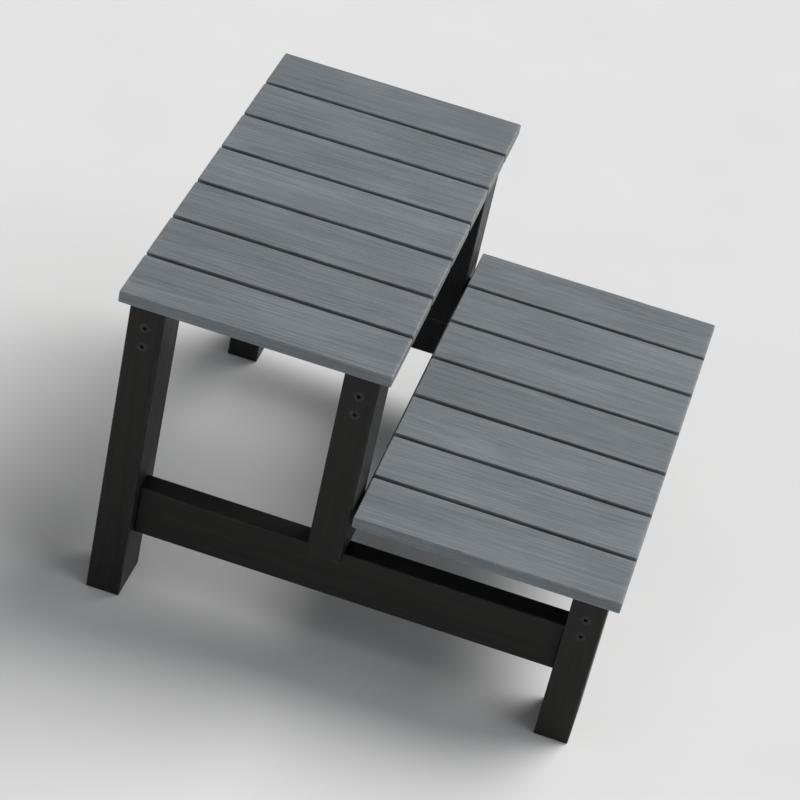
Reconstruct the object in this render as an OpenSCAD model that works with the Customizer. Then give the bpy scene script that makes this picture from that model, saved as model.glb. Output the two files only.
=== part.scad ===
// Free-standing two-tread steps for a spa tub.
// Slatted treads sit on a left and a right leg frame, which cross rails join.
// Frame of the part: +X points away from the tub, +Z is up, and Y = 0 is the middle of the width.
// The origin is on the ground under the middle of the overall box. Left is the -Y side.

/* [Overall] */
// Depth over both treads, from the tub side to the front edge
total_depth = 606; // [594:1:618]
// Height of the upper tread's top face
upper_h = 412; // [390:1:430]
// Height of the lower tread's top face
lower_h = 219; // [205:1:235]

/* [Slats] */
// Slats in each tread
slat_count = 7; // [7]
// Length of a slat, front to back
slat_len = 307; // [301:1:313]
// Width of a slat
slat_w = 81; // [80:0.5:84]
// Thickness of a slat
slat_t = 15; // [14:0.5:18]
// Gap between neighbouring slats
slat_gap = 5.5; // [4:0.5:7]
// Radius of the slats' eased edges
slat_edge_r = 2; // [1:0.5:3]

/* [Legs] */
// Size of a leg, front to back
leg_w = 40; // [38:1:44]
// Size of a leg across the width of the steps
leg_d = 68; // [64:1:72]
// How far the upper slats stand out behind the rear legs
rear_overhang = 13; // [10:1:16]
// How far the lower slats stand out past the front legs
front_overhang = 13; // [10:1:16]
// How far the outer slats stand out past the legs at each side
side_overhang = 5; // [2:1:8]
// Gap between the middle legs' front faces and the lower slats
riser_gap = 4; // [2:0.5:6]
// Radius of the eased edges of legs and rails
frame_edge_r = 2; // [1:0.5:3]

/* [Rails] */
// Thickness of the side stretchers and the cross rails
rail_t = 28; // [26:1:30]
// Height of the side stretchers and the cross rails
rail_h = 64; // [62:1:70]
// Height of the side stretchers' lower face above the ground
stretcher_z = 82; // [66:1:90]
// Section of the square ledger under the lower slats' rear ends
ledger_s = 28; // [26:1:30]
// How far the ledger's ends stand in from the sides
ledger_inset = 40; // [38:1:42]

/* [Frame screws] */
// Shank diameter of the long frame screws
frame_screw_d = 6; // [5:0.5:6.5]
// Head diameter of the long frame screws
frame_head_d = 12; // [10:0.5:13]
// Length of the screws that go through a leg into a cross rail
rail_screw_l = 90; // [80:5:95]
// Length of the screws that go through a leg into a side stretcher
stretcher_screw_l = 90; // [80:5:100]
// Length of the screws that go up through a stretcher into a middle leg
post_screw_l = 110; // [100:5:130]
// Length of the screws that go through the ledger into a middle leg
ledger_screw_l = 60; // [50:1:65]

/* [Slat fixings] */
// Shank diameter of the slat screws
slat_screw_d = 4.5; // [4:0.5:5]
// Head diameter of the slat screws
slat_head_d = 9; // [8:0.5:9.5]
// Depth of a slat screw or dowel in a slat
slat_bite = 10; // [8:0.5:11]
// Distance of a slat screw from the slat's centre line
slat_screw_y = 18; // [14:1:20]
// Wood left above the deep screw pockets in the rails
pocket_web = 24; // [20:1:30]
// Diameter of the screw pockets
pocket_d = 10.5; // [10:0.5:11]
// Diameter of the dowels between the leg tops and the outer slats
dowel_d = 8; // [6:1:9]
// Depth of a dowel in a leg
dowel_leg = 18; // [14:1:18]

/* [Hidden] */
$fn = 48;
clear = 0.1;
over = 1;
socket_d = 5;
socket_depth = 2.5;
head_flare = 0.5;
tip_len_share = 0.8;
tip_width_share = 0.25;
dowel_tip = 1;

slat_pitch = slat_w + slat_gap;
width = slat_count * slat_pitch - slat_gap;
half_width = width / 2;
rear_x = -total_depth / 2;
front_x = total_depth / 2;
lower_x = front_x - slat_len;
upper_z = upper_h - slat_t;
lower_z = lower_h - slat_t;

rear_leg_x = rear_x + rear_overhang;
middle_leg_x = lower_x - riser_gap - leg_w;
front_leg_x = front_x - front_overhang - leg_w;
frame_side_y = half_width - side_overhang;
leg_mid_y = frame_side_y - leg_d / 2;
rail_len = 2 * (frame_side_y - leg_d);
stretcher_x = rear_leg_x + leg_w;
stretcher_len = front_leg_x - stretcher_x;
stretcher_top = stretcher_z + rail_h;
ledger_len = width - 2 * ledger_inset;
ledger_x = middle_leg_x + leg_w;

rear_rail_mid_x = rear_leg_x + leg_w / 2;
middle_mid_x = middle_leg_x + leg_w / 2;
front_rail_mid_x = front_leg_x + leg_w / 2;
ledger_mid_x = ledger_x + ledger_s / 2;

// Heights of the two screws of a joint, below the top of a cross rail
rail_screw_drops = [26, 50];
// Heights of the two screws of a joint, from the middle of a side stretcher
stretcher_screw_zs = [-16, 16];
// Places of the two screws under a middle leg, from its middle
post_screw_xs = [-10, 10];
// Places of the two dowels in a leg top, from its middle
dowel_ys = [-14, 14];
// Places of the two ledger screws at each end: from the ledger's end, and from its lower face
ledger_screws_yz = [[21, 7], [7, 21]];
// Distance of the outer slats' ledger screws from those slats' inner edges
outer_screw_in = 12;

// Middle of slat n across the width, n from 0 at the left side
function slat_y(n) = -half_width + slat_w / 2 + n * slat_pitch;

slats_on_rails = [for (n = [1:slat_count - 2]) n];
rail_screw_ys = [for (n = slats_on_rails, s = [-1, 1]) slat_y(n) + s * slat_screw_y];
outer_ledger_y = half_width - slat_w + outer_screw_in;
ledger_screw_ys = concat(rail_screw_ys, [-outer_ledger_y, outer_ledger_y]);

slat_colour = [0.42, 0.44, 0.47];
frame_colour = [0.11, 0.11, 0.10];
screw_colour = [0.30, 0.30, 0.31];
dowel_colour = [0.72, 0.58, 0.40];

// A rectangle in the first quadrant with round corners
module round_rect(a, b, r) {
  translate([r, 0]) square([a - 2 * r, b]);
  translate([0, r]) square([a, b - 2 * r]);
  for (x = [r, a - r], y = [r, b - r]) translate([x, y]) circle(r = r);
}

// A board with its lowest corner at the origin, and with all its edges eased
module board(size, r) {
  intersection() {
    linear_extrude(size.z) round_rect(size.x, size.y, r);
    rotate([90, 0, 90]) linear_extrude(size.x) round_rect(size.y, size.z, r);
    translate([0, size.y, 0]) rotate([90, 0, 0]) linear_extrude(size.y) round_rect(size.x, size.z, r);
  }
}

// A frame board
module frame_board(size) {
  board(size, frame_edge_r);
}

// A countersunk screw that points up, with the face of its head at z = 0
module screw(d, head_d, len) {
  cone_h = (head_d - d) / 2;
  tip_h = d * tip_len_share;
  difference() {
    union() {
      cylinder(d = head_d, h = head_flare);
      translate([0, 0, head_flare]) cylinder(d1 = head_d, d2 = d, h = cone_h);
      cylinder(d = d, h = len - tip_h);
      translate([0, 0, len - tip_h]) cylinder(d1 = d, d2 = d * tip_width_share, h = tip_h);
    }
    translate([0, 0, -over]) cylinder(d = socket_d, h = socket_depth + over, $fn = 6);
  }
}

// The hole that a screw fills, with its countersink
module screw_hole(d, head_d, len) {
  cone_h = (head_d - d) / 2;
  translate([0, 0, -over]) cylinder(d = head_d + 2 * clear, h = head_flare + clear + over);
  translate([0, 0, head_flare + clear]) cylinder(d1 = head_d + 2 * clear, d2 = d + 2 * clear, h = cone_h);
  cylinder(d = d + 2 * clear, h = len + clear);
}

// Puts children at every frame screw of a cross rail's two ends; rail top at z = top
module at_rail_screws(x, top) {
  for (side = [0, 1], drop = rail_screw_drops) {
    mirror([0, side, 0])
      translate([x, -frame_side_y, top - drop]) rotate([-90, 0, 0]) children();
  }
}

// Puts children at every screw that goes through a leg into the left stretcher's end
module at_stretcher_screws() {
  for (z = stretcher_screw_zs) {
    translate([rear_leg_x, -leg_mid_y, stretcher_z + rail_h / 2 + z]) rotate([0, 90, 0]) children();
    translate([front_leg_x + leg_w, -leg_mid_y, stretcher_z + rail_h / 2 + z])
      rotate([0, -90, 0]) children();
  }
}

// Puts children at the screws under the left middle leg
module at_post_screws() {
  for (x = post_screw_xs) translate([middle_mid_x + x, -leg_mid_y, stretcher_z]) children();
}

// Puts children at the screws through the ledger's left end
module at_ledger_screws() {
  for (p = ledger_screws_yz) {
    translate([ledger_x + ledger_s, -half_width + ledger_inset + p[0], lower_z - ledger_s + p[1]])
      rotate([0, -90, 0]) children();
  }
}

// Puts children at the dowels in a left leg's top
module at_dowels(x, z) {
  for (y = dowel_ys) translate([x, -leg_mid_y + y, z]) children();
}

module dowel_hole() {
  translate([0, 0, -dowel_leg - clear])
    cylinder(d = dowel_d + 2 * clear, h = dowel_leg + slat_bite + 2 * clear);
}

module dowel() {
  body_h = dowel_leg + slat_bite - 2 * dowel_tip;
  translate([0, 0, -dowel_leg]) {
    cylinder(d1 = dowel_d - 2 * dowel_tip, d2 = dowel_d, h = dowel_tip);
    translate([0, 0, dowel_tip]) cylinder(d = dowel_d, h = body_h);
    translate([0, 0, dowel_tip + body_h])
      cylinder(d1 = dowel_d, d2 = dowel_d - 2 * dowel_tip, h = dowel_tip);
  }
}

// Puts children at a row of slat screws; seat is the height of their head faces
module at_slat_screws(x, ys, seat) {
  for (y = ys) translate([x, y, seat]) children();
}

// Screws that go up through a rail's web into the slats
rail_slat_screw_l = pocket_web + slat_bite;
// Screws that go up through the ledger into the slats
ledger_slat_screw_l = ledger_s + slat_bite;

module rail_slat_screws(x, under_slat) {
  at_slat_screws(x, rail_screw_ys, under_slat - pocket_web)
    screw(slat_screw_d, slat_head_d, rail_slat_screw_l);
}

module ledger_slat_screws() {
  at_slat_screws(ledger_mid_x, ledger_screw_ys, lower_z - ledger_s)
    screw(slat_screw_d, slat_head_d, ledger_slat_screw_l);
}

// The same screws' holes, with the deep pockets below the rails' webs
module rail_slat_holes(x, under_slat) {
  at_slat_screws(x, rail_screw_ys, under_slat - pocket_web) {
    screw_hole(slat_screw_d, slat_head_d, rail_slat_screw_l);
    translate([0, 0, -rail_h]) cylinder(d = pocket_d, h = rail_h);
  }
}

module ledger_slat_holes() {
  at_slat_screws(ledger_mid_x, ledger_screw_ys, lower_z - ledger_s)
    screw_hole(slat_screw_d, slat_head_d, ledger_slat_screw_l);
}

// ---- Treads ----

module upper_holes() {
  rail_slat_holes(rear_rail_mid_x, upper_z);
  rail_slat_holes(middle_mid_x, upper_z);
  for (side = [0, 1], x = [rear_rail_mid_x, middle_mid_x]) {
    mirror([0, side, 0]) at_dowels(x, upper_z) dowel_hole();
  }
}

module lower_holes() {
  rail_slat_holes(front_rail_mid_x, lower_z);
  ledger_slat_holes();
  for (side = [0, 1]) {
    mirror([0, side, 0]) at_dowels(front_rail_mid_x, lower_z) dowel_hole();
  }
}

module upper_slat(n) {
  color(slat_colour) difference() {
    translate([rear_x, slat_y(n) - slat_w / 2, upper_z]) board([slat_len, slat_w, slat_t], slat_edge_r);
    upper_holes();
  }
}

module lower_slat(n) {
  color(slat_colour) difference() {
    translate([lower_x, slat_y(n) - slat_w / 2, lower_z]) board([slat_len, slat_w, slat_t], slat_edge_r);
    lower_holes();
  }
}

// ---- Leg frames: each module draws the left side, and side = 1 mirrors it to the right ----

module rear_leg(side) {
  color(frame_colour) mirror([0, side, 0]) difference() {
    translate([rear_leg_x, -frame_side_y, 0]) frame_board([leg_w, leg_d, upper_z]);
    at_rail_screws(rear_rail_mid_x, upper_z) screw_hole(frame_screw_d, frame_head_d, rail_screw_l);
    at_stretcher_screws() screw_hole(frame_screw_d, frame_head_d, stretcher_screw_l);
    at_dowels(rear_rail_mid_x, upper_z) dowel_hole();
  }
}

module middle_leg(side) {
  color(frame_colour) mirror([0, side, 0]) difference() {
    translate([middle_leg_x, -frame_side_y, stretcher_top])
      frame_board([leg_w, leg_d, upper_z - stretcher_top]);
    at_rail_screws(middle_mid_x, upper_z) screw_hole(frame_screw_d, frame_head_d, rail_screw_l);
    at_post_screws() screw_hole(frame_screw_d, frame_head_d, post_screw_l);
    at_ledger_screws() screw_hole(slat_screw_d, slat_head_d, ledger_screw_l);
    at_dowels(middle_mid_x, upper_z) dowel_hole();
  }
}

module front_leg(side) {
  color(frame_colour) mirror([0, side, 0]) difference() {
    translate([front_leg_x, -frame_side_y, 0]) frame_board([leg_w, leg_d, lower_z]);
    at_rail_screws(front_rail_mid_x, lower_z) screw_hole(frame_screw_d, frame_head_d, rail_screw_l);
    at_stretcher_screws() screw_hole(frame_screw_d, frame_head_d, stretcher_screw_l);
    at_dowels(front_rail_mid_x, lower_z) dowel_hole();
  }
}

module side_stretcher(side) {
  color(frame_colour) mirror([0, side, 0]) difference() {
    translate([stretcher_x, -leg_mid_y - rail_t / 2, stretcher_z])
      frame_board([stretcher_len, rail_t, rail_h]);
    at_stretcher_screws() screw_hole(frame_screw_d, frame_head_d, stretcher_screw_l);
    at_post_screws() screw_hole(frame_screw_d, frame_head_d, post_screw_l);
  }
}

// ---- Cross members ----

module cross_rail(x, top) {
  color(frame_colour) difference() {
    translate([x - rail_t / 2, -rail_len / 2, top - rail_h]) frame_board([rail_t, rail_len, rail_h]);
    at_rail_screws(x, top) screw_hole(frame_screw_d, frame_head_d, rail_screw_l);
    rail_slat_holes(x, top);
  }
}

module lower_rear_ledger() {
  color(frame_colour) difference() {
    translate([ledger_x, -ledger_len / 2, lower_z - ledger_s])
      frame_board([ledger_s, ledger_len, ledger_s]);
    ledger_slat_holes();
    for (side = [0, 1]) {
      mirror([0, side, 0]) at_ledger_screws() screw_hole(slat_screw_d, slat_head_d, ledger_screw_l);
    }
  }
}

// ---- Fasteners: one node for each kind ----

module rail_screws() {
  color(screw_colour) {
    at_rail_screws(rear_rail_mid_x, upper_z) screw(frame_screw_d, frame_head_d, rail_screw_l);
    at_rail_screws(middle_mid_x, upper_z) screw(frame_screw_d, frame_head_d, rail_screw_l);
    at_rail_screws(front_rail_mid_x, lower_z) screw(frame_screw_d, frame_head_d, rail_screw_l);
  }
}

module stretcher_screws() {
  color(screw_colour) for (side = [0, 1]) {
    mirror([0, side, 0]) at_stretcher_screws() screw(frame_screw_d, frame_head_d, stretcher_screw_l);
  }
}

module middle_leg_screws() {
  color(screw_colour) for (side = [0, 1]) {
    mirror([0, side, 0]) at_post_screws() screw(frame_screw_d, frame_head_d, post_screw_l);
  }
}

module ledger_screws() {
  color(screw_colour) for (side = [0, 1]) {
    mirror([0, side, 0]) at_ledger_screws() screw(slat_screw_d, slat_head_d, ledger_screw_l);
  }
}

module upper_slat_screws() {
  color(screw_colour) {
    rail_slat_screws(rear_rail_mid_x, upper_z);
    rail_slat_screws(middle_mid_x, upper_z);
  }
}

module lower_slat_screws() {
  color(screw_colour) {
    rail_slat_screws(front_rail_mid_x, lower_z);
    ledger_slat_screws();
  }
}

module upper_slat_dowels() {
  color(dowel_colour) for (side = [0, 1], x = [rear_rail_mid_x, middle_mid_x]) {
    mirror([0, side, 0]) at_dowels(x, upper_z) dowel();
  }
}

module lower_slat_dowels() {
  color(dowel_colour) for (side = [0, 1]) {
    mirror([0, side, 0]) at_dowels(front_rail_mid_x, lower_z) dowel();
  }
}

upper_slat(0);  // upper_slat_1
upper_slat(1);  // upper_slat_2
upper_slat(2);  // upper_slat_3
upper_slat(3);  // upper_slat_4
upper_slat(4);  // upper_slat_5
upper_slat(5);  // upper_slat_6
upper_slat(6);  // upper_slat_7
lower_slat(0);  // lower_slat_1
lower_slat(1);  // lower_slat_2
lower_slat(2);  // lower_slat_3
lower_slat(3);  // lower_slat_4
lower_slat(4);  // lower_slat_5
lower_slat(5);  // lower_slat_6
lower_slat(6);  // lower_slat_7
rear_leg(0);  // rear_leg_left
rear_leg(1);  // rear_leg_right
middle_leg(0);  // middle_leg_left
middle_leg(1);  // middle_leg_right
front_leg(0);  // front_leg_left
front_leg(1);  // front_leg_right
side_stretcher(0);  // side_stretcher_left
side_stretcher(1);  // side_stretcher_right
cross_rail(rear_rail_mid_x, upper_z);  // upper_rear_rail
cross_rail(middle_mid_x, upper_z);  // upper_front_rail
cross_rail(front_rail_mid_x, lower_z);  // lower_front_rail
lower_rear_ledger();
rail_screws();
stretcher_screws();
middle_leg_screws();
ledger_screws();
upper_slat_screws();
lower_slat_screws();
upper_slat_dowels();
lower_slat_dowels();
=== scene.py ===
import math

import bpy
import numpy as np
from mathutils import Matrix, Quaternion, Vector


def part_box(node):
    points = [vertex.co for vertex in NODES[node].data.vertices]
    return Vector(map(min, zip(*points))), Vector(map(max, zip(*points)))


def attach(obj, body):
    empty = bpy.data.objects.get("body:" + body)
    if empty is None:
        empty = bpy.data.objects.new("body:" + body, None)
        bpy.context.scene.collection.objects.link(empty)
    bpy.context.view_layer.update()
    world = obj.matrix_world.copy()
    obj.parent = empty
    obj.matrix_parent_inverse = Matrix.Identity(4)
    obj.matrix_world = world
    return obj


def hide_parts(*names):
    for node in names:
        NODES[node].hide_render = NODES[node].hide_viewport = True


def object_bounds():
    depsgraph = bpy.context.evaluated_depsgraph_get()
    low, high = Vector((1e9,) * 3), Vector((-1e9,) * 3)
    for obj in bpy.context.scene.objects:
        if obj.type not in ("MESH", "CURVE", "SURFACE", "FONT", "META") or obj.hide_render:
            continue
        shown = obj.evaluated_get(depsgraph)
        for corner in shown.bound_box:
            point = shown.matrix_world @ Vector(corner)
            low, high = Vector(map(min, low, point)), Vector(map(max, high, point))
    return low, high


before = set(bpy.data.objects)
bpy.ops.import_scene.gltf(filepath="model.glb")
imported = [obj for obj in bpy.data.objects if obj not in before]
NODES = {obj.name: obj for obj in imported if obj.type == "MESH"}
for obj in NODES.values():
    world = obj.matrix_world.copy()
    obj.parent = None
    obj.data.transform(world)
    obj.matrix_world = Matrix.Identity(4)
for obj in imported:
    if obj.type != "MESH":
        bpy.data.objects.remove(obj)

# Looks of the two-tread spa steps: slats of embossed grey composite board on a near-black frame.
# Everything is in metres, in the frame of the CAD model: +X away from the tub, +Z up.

cad_low, cad_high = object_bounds()

# ---- Driving values ----

SLAT_NAMES = [name for name in sorted(NODES) if "_slat_" in name and name[-1].isdigit()]
SLAT_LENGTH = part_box(SLAT_NAMES[0])[1].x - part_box(SLAT_NAMES[0])[0].x
SLAT_EDGE = 0.002
# Steps of the slats' surface grid: along the grain, across it, and through the thickness
SLAT_STEPS = (0.0045, 0.0008, 0.0025)
# Angles of the grid lines over an eased edge
EDGE_ANGLES = (45, 30, 15, 0)
# Depth of the embossed year rings, of the fine brushing and of the slow waves of a pressed board
RING_DEPTH = 0.00024
BRUSH_DEPTH = 0.00010
WAVE_DEPTH = 0.00015
# How far the long edges of a slat's top lie below its middle
CROWN = 0.00020
# Width beside an edge where wear shows
WEAR_WIDTH = 0.0035
# Spacing of the year rings on a slat's face, narrowest and widest
RING_SPACING = (0.0036, 0.0050)
# How far the log's middle may lie from the slat's, and how steeply its rings slope along the slat
LOG_OFFSET = 0.050
LOG_SLOPE = (0.020, 0.055)
LOG_DEPTH = (0.004, 0.012)
# How far the rings wander, slowly and quickly
SLOW_WANDER = 0.0026
QUICK_WANDER = 0.0009
# Offset that gives a slat's underside a grain of its own
UNDERSIDE_SHIFT = 1

SEED = 11
NOISE_TABLE = np.random.default_rng(SEED).random((257, 257))


# ---- Noise for shapes ----

def value_noise(x, y):
    """Smooth noise from 0 to 1 at x, y, which count lattice steps."""
    size = len(NOISE_TABLE)
    ix, iy = np.floor(x).astype(int), np.floor(y).astype(int)
    fx, fy = x - ix, y - iy
    fx, fy = fx * fx * (3 - 2 * fx), fy * fy * (3 - 2 * fy)

    def at(dx, dy):
        return NOISE_TABLE[(ix + dx) % size, (iy + dy) % size]

    low = at(0, 0) * (1 - fx) + at(1, 0) * fx
    high = at(0, 1) * (1 - fx) + at(1, 1) * fx
    return low * (1 - fy) + high * fy


def smooth_step(low, high, x):
    t = np.clip((x - low) / (high - low), 0, 1)
    return t * t * (3 - 2 * t)


def ring_groove(along, across, rng):
    """How deep the year-ring grooves are, from 0 to 1, where the face cuts a sloping log's rings."""
    start = rng.uniform(0, 80)
    warp = SLOW_WANDER * (value_noise(along / 0.070 + start, across / 0.016 + start) - 0.5)
    warp = warp + QUICK_WANDER * (value_noise(along / 0.024 + start, across / 0.006) - 0.5)
    centre = rng.uniform(-LOG_OFFSET, LOG_OFFSET)
    slope = rng.choice([-1, 1]) * rng.uniform(*LOG_SLOPE)
    depth = rng.uniform(*LOG_DEPTH) + np.abs(slope) * SLAT_LENGTH + slope * along
    radius = np.hypot(across - centre, depth) + warp
    turn = radius / rng.uniform(*RING_SPACING)
    part = turn - np.floor(turn)
    return smooth_step(0.35, 0.86, part) * (1 - smooth_step(0.88, 1.0, part))


def brush_groove(along, across, rng):
    """How deep the fine brushing along the grain is, from 0 to 1."""
    start = rng.uniform(0, 90)
    streak = value_noise(along / 0.030 + start, across / 0.0021 + start)
    patch = value_noise(along / 0.11 + start, across / 0.020 + start)
    return smooth_step(0.45, 0.90, streak) * (0.3 + 0.7 * patch)


# ---- Boards ----

def edge_lines(length, step, radius):
    """Grid lines along one axis of a board: close together over the eased edges, even between them."""
    ease = radius * (1 - np.tan(np.radians(EDGE_ANGLES)))
    count = max(1, round((length - 2 * radius) / step))
    middle = np.linspace(radius, length - radius, count + 1)[1:-1]
    return np.concatenate([ease, middle, length - ease[::-1]])


def eased_board(size, steps, radius):
    """Points, outward normals and quads of a board whose edges are all rounded."""
    lines = [edge_lines(size[axis], steps[axis], radius) for axis in range(3)]
    skin = np.ones([len(line) for line in lines], bool)
    skin[1:-1, 1:-1, 1:-1] = False
    number = np.full(skin.shape, -1)
    number[skin] = np.arange(skin.sum())
    places = np.nonzero(skin)
    flat = np.stack([lines[axis][places[axis]] for axis in range(3)], 1)
    core = np.clip(flat, radius, np.array(size) - radius)
    normals = flat - core
    normals /= np.linalg.norm(normals, axis=1, keepdims=True)
    quads = []
    for axis in range(3):
        for end in (0, -1):
            ids = np.take(number, end, axis=axis)
            ring = [ids[:-1, :-1], ids[1:, :-1], ids[1:, 1:], ids[:-1, 1:]]
            if (axis == 1) != (end == 0):
                ring.reverse()
            quads.append(np.stack(ring, -1).reshape(-1, 4))
    return core + radius * normals, normals, np.concatenate(quads)


def add_attribute(mesh, name, kind, values):
    layer = mesh.attributes.new(name, kind, "POINT")
    field = "vector" if kind == "FLOAT_VECTOR" else "value"
    layer.data.foreach_set(field, np.ascontiguousarray(values, np.float32).ravel())


def slat(name, number):
    """A composite board in the place of a CAD slat, with an embossed wood grain along it."""
    low, high = (np.array(corner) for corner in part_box(name))
    size = high - low
    rng = np.random.default_rng([SEED, number])
    points, normals, quads = eased_board(size, SLAT_STEPS, SLAT_EDGE)

    along = points[:, 0]
    from_middle = points[:, 1] - size[1] / 2
    is_under = normals[:, 2] < -0.5
    around = from_middle + np.sign(from_middle) * (size[2] - points[:, 2])
    across = np.where(is_under, from_middle + UNDERSIDE_SHIFT, around)
    end_face = np.abs(normals[:, 0])
    fading = 0.35 + 0.65 * value_noise(along / 0.08 + number, across / 0.03)
    rings = ring_groove(along, across, rng) * fading
    brush = brush_groove(along, across, rng)
    waves = value_noise(along / 0.060 + 3 * number, across / 0.030 + 5 * number)
    sunk = (RING_DEPTH * rings + BRUSH_DEPTH * brush + WAVE_DEPTH * waves) * (1 - end_face)
    crown = CROWN * (2 * from_middle / size[1]) ** 2 * np.clip(normals[:, 2], 0, 1)
    points = points - normals * (sunk + crown)[:, None]

    inside = np.minimum(points, size - points)
    inside.sort(axis=1)
    wear = 1 - smooth_step(0, WEAR_WIDTH, inside[:, 1])

    mesh = bpy.data.meshes.new(name + "_board")
    mesh.from_pydata((points + low).tolist(), [], quads.tolist())
    shift = np.array([number * 3.7, number * 1.9, number * 2.3])
    local = np.stack([along, across, points[:, 2]], 1)
    add_attribute(mesh, "grain", "FLOAT_VECTOR", local + shift)
    add_attribute(mesh, "groove", "FLOAT", 0.65 * rings + 0.35 * brush)
    add_attribute(mesh, "wear", "FLOAT", wear)
    add_attribute(mesh, "tone", "FLOAT", np.full(len(points), rng.uniform(0, 1)))
    mesh.shade_smooth()
    piece = bpy.data.objects.new(name + "_board", mesh)
    bpy.context.scene.collection.objects.link(piece)
    mesh.materials.append(slat_material())
    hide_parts(name)
    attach(piece, "root")
    return piece


# ---- Materials ----

class Graph:
    """Adds and links the shader nodes of one material."""

    def __init__(self, name):
        self.material = bpy.data.materials.new(name)
        self.material.use_nodes = True
        self.tree = self.material.node_tree
        self.shader = self.tree.nodes["Principled BSDF"]

    def add(self, kind, inputs=None, **settings):
        node = self.tree.nodes.new(kind)
        for key, value in settings.items():
            setattr(node, key, value)
        for key, value in (inputs or {}).items():
            self.feed(node.inputs[key], value)
        return node

    def feed(self, socket, value):
        if isinstance(value, bpy.types.NodeSocket):
            self.tree.links.new(value, socket)
        else:
            socket.default_value = value

    def set(self, **inputs):
        for key, value in inputs.items():
            self.feed(self.shader.inputs[key.replace("_", " ")], value)

    def attribute(self, name, output="Fac"):
        return self.add("ShaderNodeAttribute", attribute_name=name).outputs[output]

    def stretch(self, vector, scale, shift=(0, 0, 0)):
        inputs = {"Vector": vector, "Scale": scale, "Location": shift}
        return self.add("ShaderNodeMapping", inputs).outputs["Vector"]

    def noise(self, vector, scale, detail=4.0, roughness=0.55, distortion=0.0):
        inputs = {"Vector": vector, "Scale": scale, "Detail": detail}
        inputs.update({"Roughness": roughness, "Distortion": distortion})
        return self.add("ShaderNodeTexNoise", inputs).outputs["Fac"]

    def math(self, operation, a, b=0.0, clamp=False):
        inputs = {0: a, 1: b}
        return self.add("ShaderNodeMath", inputs, operation=operation, use_clamp=clamp).outputs[0]

    def vector(self, operation, a, b=(0, 0, 0)):
        return self.add("ShaderNodeVectorMath", {0: a, 1: b}, operation=operation).outputs["Vector"]

    def remap(self, value, from_low, from_high, to_low, to_high):
        inputs = {"Value": value, "From Min": from_low, "From Max": from_high}
        inputs.update({"To Min": to_low, "To Max": to_high})
        return self.add("ShaderNodeMapRange", inputs).outputs["Result"]

    def mix(self, factor, a, b, blend="MIX"):
        node = self.add("ShaderNodeMix", data_type="RGBA", blend_type=blend)
        self.feed(node.inputs["Factor"], factor)
        self.feed(node.inputs[6], a)
        self.feed(node.inputs[7], b)
        return node.outputs[2]

    def bump(self, height, depth, strength, below=None):
        inputs = {"Height": height, "Distance": depth, "Strength": strength}
        node = self.add("ShaderNodeBump", inputs)
        if below is not None:
            self.feed(node.inputs["Normal"], below)
        return node.outputs["Normal"]


def rgb(red, green, blue):
    return (red, green, blue, 1.0)


def grained_board(graph, vector, palette, groove=None, wear=None, tone=None):
    """Colour, roughness and relief of an embossed composite board, with its grain along vector's X."""
    dark, middle, light, worn = palette
    fibre = graph.noise(graph.stretch(vector, (14, 520, 520)), 1.0, 5.0, 0.62)
    streak = graph.noise(graph.stretch(vector, (5, 95, 95)), 1.0, 4.0, 0.6, 0.35)
    blotch = graph.noise(graph.stretch(vector, (7, 16, 16)), 1.0, 3.0, 0.5)
    speck = graph.noise(graph.stretch(vector, (900, 900, 900)), 1.0, 2.0, 0.5)

    colour = graph.mix(graph.remap(streak, 0.30, 0.70, 0.0, 1.0), dark, middle)
    colour = graph.mix(graph.remap(fibre, 0.42, 0.78, 0.0, 0.75), colour, light)
    shade = graph.remap(blotch, 0.25, 0.75, 0.90, 1.09)
    if tone is not None:
        shade = graph.math("MULTIPLY", shade, graph.remap(tone, 0.0, 1.0, 0.94, 1.05))
    if groove is not None:
        shade = graph.math("MULTIPLY", shade, graph.remap(groove, 0.0, 1.0, 1.03, 0.74))
    grey = graph.add("ShaderNodeCombineColor", {"Red": shade, "Green": shade, "Blue": shade})
    colour = graph.mix(1.0, colour, grey.outputs["Color"], "MULTIPLY")
    if wear is not None:
        patches = graph.noise(graph.stretch(vector, (60, 160, 160)), 1.0, 3.0)
        patchy = graph.remap(patches, 0.42, 0.70, 0.0, 1.0)
        colour = graph.mix(graph.math("MULTIPLY", graph.math("MULTIPLY", wear, patchy), 0.55), colour, worn)
    dust = graph.remap(speck, 0.70, 0.80, 0.0, 0.22)
    colour = graph.mix(dust, colour, worn)

    rough = graph.remap(fibre, 0.3, 0.8, 0.40, 0.58)
    rough = graph.math("ADD", rough, graph.remap(blotch, 0.3, 0.7, -0.04, 0.06))
    relief = graph.bump(fibre, 0.00035, 0.55)
    relief = graph.bump(streak, 0.0006, 0.35, relief)
    relief = graph.bump(speck, 0.00012, 0.30, relief)
    graph.set(Base_Color=colour, Roughness=rough, Normal=relief)


SLAT_PALETTE = (
    rgb(0.111, 0.128, 0.142),
    rgb(0.155, 0.175, 0.192),
    rgb(0.209, 0.231, 0.247),
    rgb(0.294, 0.315, 0.329),
)
FRAME_PALETTE = (
    rgb(0.0075, 0.0075, 0.0068),
    rgb(0.0120, 0.0120, 0.0108),
    rgb(0.0215, 0.0215, 0.0198),
    rgb(0.0480, 0.0480, 0.0450),
)
SCREW_DARK = rgb(0.012, 0.012, 0.013)
SCREW_LIGHT = rgb(0.026, 0.026, 0.028)
SCREW_WORN = rgb(0.12, 0.12, 0.125)
DOWEL_DARK = rgb(0.42, 0.27, 0.13)
DOWEL_LIGHT = rgb(0.62, 0.44, 0.25)
DOWEL_FLECK = rgb(0.30, 0.17, 0.08)
FLOOR_DARK = rgb(0.68, 0.68, 0.68)
FLOOR_LIGHT = rgb(0.71, 0.71, 0.71)
# Materials made so far, by name
MADE = {}


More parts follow.
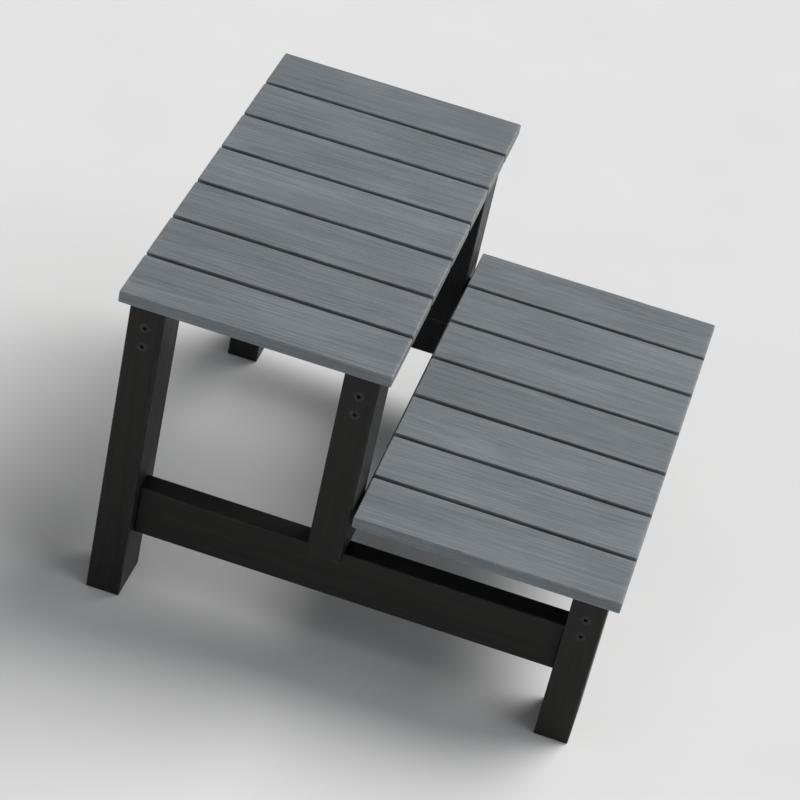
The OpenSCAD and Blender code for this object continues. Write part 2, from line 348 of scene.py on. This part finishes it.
def slat_material():
    if "slat_board" not in MADE:
        graph = Graph("slat_board")
        vector = graph.attribute("grain", "Vector")
        groove, wear, tone = (graph.attribute(name) for name in ("groove", "wear", "tone"))
        grained_board(graph, vector, SLAT_PALETTE, groove, wear, tone)
        graph.set(Specular_IOR_Level=0.45)
        MADE["slat_board"] = graph.material
    return MADE["slat_board"]


# Turns of an object's axes that bring its grain to X, by the axis that the grain runs along
GRAIN_TURNS = {
    "x": (0, 0, 0),
    "y": (0, 0, -math.pi / 2),
    "z": (0, math.pi / 2, 0),
}


def edge_wear(graph):
    """From 0 to 1 at the edges of a CAD board, from its place in the board's box."""
    part = graph.add("ShaderNodeTexCoord").outputs["Generated"]
    size = graph.add("ShaderNodeAttribute", attribute_type="OBJECT", attribute_name="board_size")
    half = graph.vector("ABSOLUTE", graph.vector("SUBTRACT", part, (0.5, 0.5, 0.5)))
    inside = graph.vector("MULTIPLY", graph.vector("SUBTRACT", (0.5, 0.5, 0.5), half), size.outputs["Vector"])
    x, y, z = graph.add("ShaderNodeSeparateXYZ", {0: inside}).outputs
    low, high = graph.math("MINIMUM", x, y), graph.math("MAXIMUM", x, y)
    second = graph.math("MAXIMUM", low, graph.math("MINIMUM", high, z))
    return graph.remap(second, 0.0, WEAR_WIDTH, 1.0, 0.0)


def frame_material(axis):
    """The near-black board material of the CAD frame members whose grain runs along an axis."""
    name = "frame_board_" + axis
    if name not in MADE:
        graph = Graph(name)
        place = graph.add("ShaderNodeTexCoord").outputs["Object"]
        chance = graph.add("ShaderNodeObjectInfo").outputs["Random"]
        moved = graph.vector("ADD", place, graph.vector("MULTIPLY", chance, (3.0, 5.0, 7.0)))
        turned = graph.add("ShaderNodeMapping", {"Vector": moved, "Rotation": GRAIN_TURNS[axis]})
        grained_board(graph, turned.outputs["Vector"], FRAME_PALETTE, wear=edge_wear(graph), tone=chance)
        graph.set(Specular_IOR_Level=0.20)
        MADE[name] = graph.material
    return MADE[name]


def screw_material():
    graph = Graph("black_screws")
    place = graph.add("ShaderNodeTexCoord").outputs["Object"]
    cloud = graph.noise(graph.stretch(place, (420, 420, 420)), 1.0, 4.0, 0.6)
    scratch = graph.noise(graph.stretch(place, (2600, 300, 2600)), 1.0, 3.0, 0.6)
    edges = graph.add("ShaderNodeNewGeometry").outputs["Pointiness"]
    at_edge = graph.remap(edges, 0.54, 0.64, 0.0, 1.0)
    worn = graph.math("MULTIPLY", at_edge, graph.remap(cloud, 0.5, 0.7, 0.0, 0.5))
    coat = graph.mix(graph.remap(cloud, 0.3, 0.7, 0.0, 1.0), SCREW_DARK, SCREW_LIGHT)
    colour = graph.mix(worn, coat, SCREW_WORN)
    rough = graph.remap(scratch, 0.3, 0.7, 0.34, 0.52)
    relief = graph.bump(scratch, 0.00004, 0.5)
    graph.set(Base_Color=colour, Roughness=rough, Normal=relief, Metallic=0.35, Specular_IOR_Level=0.35)
    return graph.material


def dowel_material():
    graph = Graph("dowel_wood")
    place = graph.add("ShaderNodeTexCoord").outputs["Object"]
    fibre = graph.noise(graph.stretch(place, (1500, 1500, 60)), 1.0, 5.0, 0.6)
    fleck = graph.noise(graph.stretch(place, (700, 700, 240)), 1.0, 2.0, 0.5)
    colour = graph.mix(graph.remap(fibre, 0.3, 0.7, 0.0, 1.0), DOWEL_DARK, DOWEL_LIGHT)
    colour = graph.mix(graph.remap(fleck, 0.62, 0.70, 0.0, 0.5), colour, DOWEL_FLECK)
    rough = graph.remap(fibre, 0.3, 0.7, 0.55, 0.75)
    graph.set(Base_Color=colour, Roughness=rough, Normal=graph.bump(fibre, 0.0002, 0.5))
    return graph.material


def finish_node(name, material):
    """Puts a material on a CAD node's slots."""
    slots = NODES[name].material_slots
    if not slots:
        NODES[name].data.materials.append(material)
    for place in slots:
        place.material = material


SCREW_NODES = [name for name in sorted(NODES) if name.endswith("_screws")]
DOWEL_NODES = [name for name in sorted(NODES) if name.endswith("_dowels")]
FRAME_NODES = [n for n in sorted(NODES) if n not in SLAT_NAMES + SCREW_NODES + DOWEL_NODES]


def grain_axis(name):
    """The axis that a frame board is longest along."""
    low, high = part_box(name)
    size = high - low
    return "xyz"[max(range(3), key=lambda axis: size[axis])]


for number, slat_name in enumerate(SLAT_NAMES):
    slat(slat_name, number)
for frame_name in FRAME_NODES:
    NODES[frame_name]["board_size"] = list(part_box(frame_name)[1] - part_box(frame_name)[0])
    finish_node(frame_name, frame_material(grain_axis(frame_name)))
screw_finish = screw_material()
for screw_name in SCREW_NODES:
    finish_node(screw_name, screw_finish)
dowel_finish = dowel_material()
for dowel_name in DOWEL_NODES:
    finish_node(dowel_name, dowel_finish)


# ---- Floor, light and camera ----

FLOOR_RADIUS = 14.0
# Where the floor starts to rise into the cove, and how high the cove's rim is
COVE_START = 9.0
COVE_HEIGHT = 4.0
FLOOR_RINGS = 24
FLOOR_SECTORS = 64


def floor():
    """A round floor that rises into a low cove far from the steps, so that low views have no dark edge."""
    radii = np.linspace(0, FLOOR_RADIUS, FLOOR_RINGS + 1)[1:]
    rise = COVE_HEIGHT * np.clip((radii - COVE_START) / (FLOOR_RADIUS - COVE_START), 0, 1) ** 2
    turns = np.linspace(0, 2 * np.pi, FLOOR_SECTORS, endpoint=False)
    points = [(0.0, 0.0, cad_low.z)]
    for radius, lift in zip(radii, rise):
        points += [(radius * np.cos(t), radius * np.sin(t), cad_low.z + lift) for t in turns]
    faces = []
    for sector in range(FLOOR_SECTORS):
        after = (sector + 1) % FLOOR_SECTORS
        faces.append((0, 1 + sector, 1 + after))
        for ring in range(FLOOR_RINGS - 1):
            inner, outer = 1 + ring * FLOOR_SECTORS, 1 + (ring + 1) * FLOOR_SECTORS
            faces.append((inner + sector, outer + sector, outer + after, inner + after))
    mesh = bpy.data.meshes.new("floor")
    mesh.from_pydata(points, [], faces)
    mesh.shade_smooth()
    graph = Graph("floor")
    place = graph.add("ShaderNodeTexCoord").outputs["Object"]
    cloud = graph.noise(graph.stretch(place, (3, 3, 3)), 1.0, 3.0)
    grey = graph.mix(graph.remap(cloud, 0.3, 0.7, 0.0, 1.0), FLOOR_DARK, FLOOR_LIGHT)
    graph.set(Base_Color=grey, Roughness=0.9)
    mesh.materials.append(graph.material)
    piece = bpy.data.objects.new("floor", mesh)
    bpy.context.scene.collection.objects.link(piece)


SKY_COLOUR = rgb(0.95, 0.97, 1.0)
SKY_STRENGTH = 0.20
# Each light: direction it stands towards, strength, spread in degrees, colour
KEY_LIGHT = ((0.55, 0.60, 1.0), 3.0, 42, (1.0, 0.99, 0.975))
SIDE_LIGHT = ((0.9, -0.15, 0.8), 0.7, 45, (0.96, 0.98, 1.0))


def soft_sun(name, towards, strength, spread, colour):
    """A wide, soft sun, which lights the whole floor evenly, standing towards a direction."""
    lamp = bpy.data.lights.new(name, "SUN")
    lamp.energy = strength
    lamp.angle = math.radians(spread)
    lamp.color = colour
    holder = bpy.data.objects.new(name, lamp)
    holder.rotation_mode = "QUATERNION"
    holder.rotation_quaternion = (-Vector(towards)).to_track_quat("-Z", "Y")
    bpy.context.scene.collection.objects.link(holder)


def surroundings():
    world = bpy.data.worlds.new("studio")
    bpy.context.scene.world = world
    world.use_nodes = True
    sky = world.node_tree.nodes["Background"]
    sky.inputs["Color"].default_value = SKY_COLOUR
    sky.inputs["Strength"].default_value = SKY_STRENGTH
    bpy.context.scene.view_settings.view_transform = "Standard"


# Direction from the middle of the steps to the camera, and the camera's lean
CAMERA_AZIMUTH = math.radians(7.2)
CAMERA_ELEVATION = math.radians(34.7)
CAMERA_DISTANCE = 3.23
CAMERA_ROLL = math.radians(13.2)
CAMERA_LENS = 123
AIM_OFFSET = Vector((-0.024, 0.0, -0.032))


def camera():
    middle = (cad_low + cad_high) / 2
    back = Vector((
        math.sin(CAMERA_AZIMUTH) * math.cos(CAMERA_ELEVATION),
        -math.cos(CAMERA_AZIMUTH) * math.cos(CAMERA_ELEVATION),
        math.sin(CAMERA_ELEVATION),
    ))
    data = bpy.data.cameras.new("camera")
    data.lens = CAMERA_LENS
    holder = bpy.data.objects.new("camera", data)
    holder.location = middle + back * CAMERA_DISTANCE
    holder.rotation_mode = "QUATERNION"
    aim = (middle + AIM_OFFSET - holder.location).to_track_quat("-Z", "Y")
    holder.rotation_quaternion = aim @ Quaternion((0, 0, 1), CAMERA_ROLL)
    bpy.context.scene.collection.objects.link(holder)
    bpy.context.scene.camera = holder


floor()
surroundings()
soft_sun("key", *KEY_LIGHT)
soft_sun("side", *SIDE_LIGHT)
camera()
